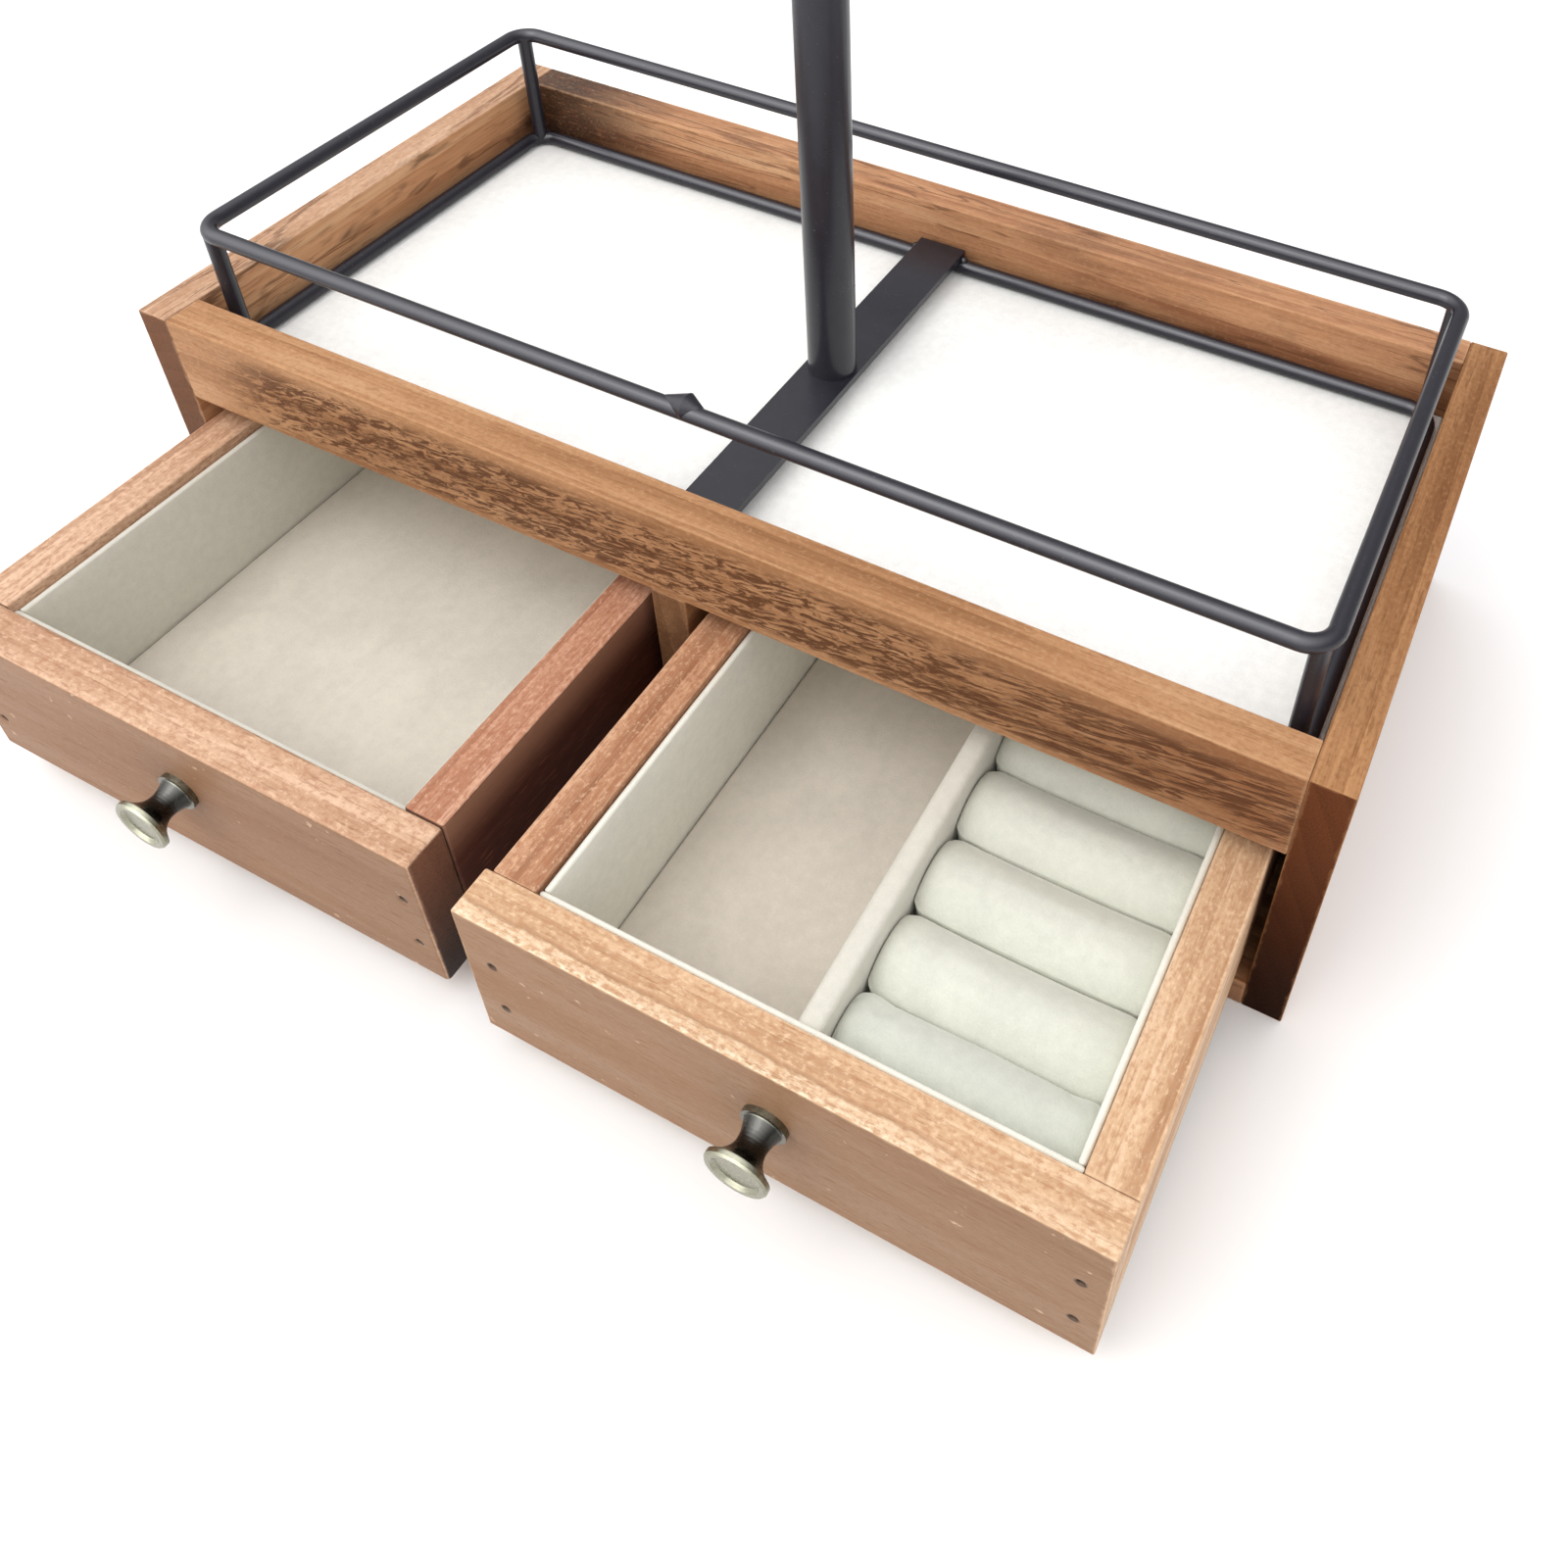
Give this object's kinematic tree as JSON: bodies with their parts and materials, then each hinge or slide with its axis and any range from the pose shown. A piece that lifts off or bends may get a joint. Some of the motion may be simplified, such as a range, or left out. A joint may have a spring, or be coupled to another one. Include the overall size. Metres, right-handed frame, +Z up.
{
  "type": "tabletop jewellery stand",
  "caption": "Wooden jewellery stand with side-by-side drawers, padded top tray, wire rack, post and necklace arms.",
  "frame": {"origin": "middle of the case's footprint, on its bottom face", "axes": "+X to the right seen from the front, +Y from the front to the back, +Z up; the drawers open towards -Y"},
  "size_m": [0.3, 0.2335, 0.356],
  "materials": {
    "case_wood": "oiled, satin, open grain",
    "rail_wood": "oiled, mottled rough-sawn face",
    "back_wood": "oiled, red-brown, satin",
    "drawer_wood": "oiled, satin, flat faces",
    "plywood": "bare plywood",
    "brad_steel": "dark brads, sunk below the surface",
    "rack_metal": "satin charcoal powder coat",
    "fixing_steel": "zinc plated",
    "knob_metal": "aged pewter, turned",
    "pad_velvet": "short-pile velvet, cream",
    "liner_velvet": "short-pile velvet, grey-green",
    "divider_velvet": "short-pile velvet over card",
    "roll_velvet": "short-pile velvet over foam"
  },
  "bodies": {
    "case": {"side_board_left": "case_wood", "side_board_right": "case_wood", "front_rail": "rail_wood", "back_board": "back_wood", "bottom_board": "case_wood", "centre_divider": "case_wood", "tray_board": "plywood", "tray_pad": "pad_velvet", "case_brads": "brad_steel", "rack_upper_rail": "rack_metal", "rack_lower_rail": "rack_metal", "rack_post_front_left": "rack_metal", "rack_post_front_right": "rack_metal", "rack_post_back_left": "rack_metal", "rack_post_back_right": "rack_metal", "rack_joint_bead": "rack_metal", "rack_cross_strap": "rack_metal", "strap_weld_beads": "rack_metal", "post_tube": "rack_metal", "post_foot_plug": "fixing_steel", "post_screw": "fixing_steel", "post_top_cap": "rack_metal", "necklace_arm_lower": "rack_metal", "necklace_arm_upper": "rack_metal", "arm_end_balls": "rack_metal"},
    "left_drawer": {"left_drawer_front": "drawer_wood", "left_drawer_left_side": "drawer_wood", "left_drawer_right_side": "drawer_wood", "left_drawer_back": "drawer_wood", "left_drawer_bottom": "plywood", "left_drawer_liner": "liner_velvet", "left_drawer_knob": "knob_metal", "left_drawer_knob_screw": "fixing_steel", "left_drawer_brads": "brad_steel"},
    "right_drawer": {"right_drawer_front": "drawer_wood", "right_drawer_left_side": "drawer_wood", "right_drawer_right_side": "drawer_wood", "right_drawer_back": "drawer_wood", "right_drawer_bottom": "plywood", "right_drawer_liner": "liner_velvet", "right_drawer_knob": "knob_metal", "right_drawer_knob_screw": "fixing_steel", "right_drawer_brads": "brad_steel", "right_drawer_divider": "divider_velvet", "ring_roll_1": "roll_velvet", "ring_roll_2": "roll_velvet", "ring_roll_3": "roll_velvet", "ring_roll_4": "roll_velvet", "ring_roll_5": "roll_velvet", "ring_roll_6": "roll_velvet"}
  },
  "joints": [
    {"name": "left_drawer_slide", "type": "slide", "parent": "case", "child": "left_drawer", "axis": [0, -1, 0], "range_m": [-0.075, 0.03]},
    {"name": "right_drawer_slide", "type": "slide", "parent": "case", "child": "right_drawer", "axis": [0, -1, 0], "range_m": [-0.078, 0.027]}
  ]
}
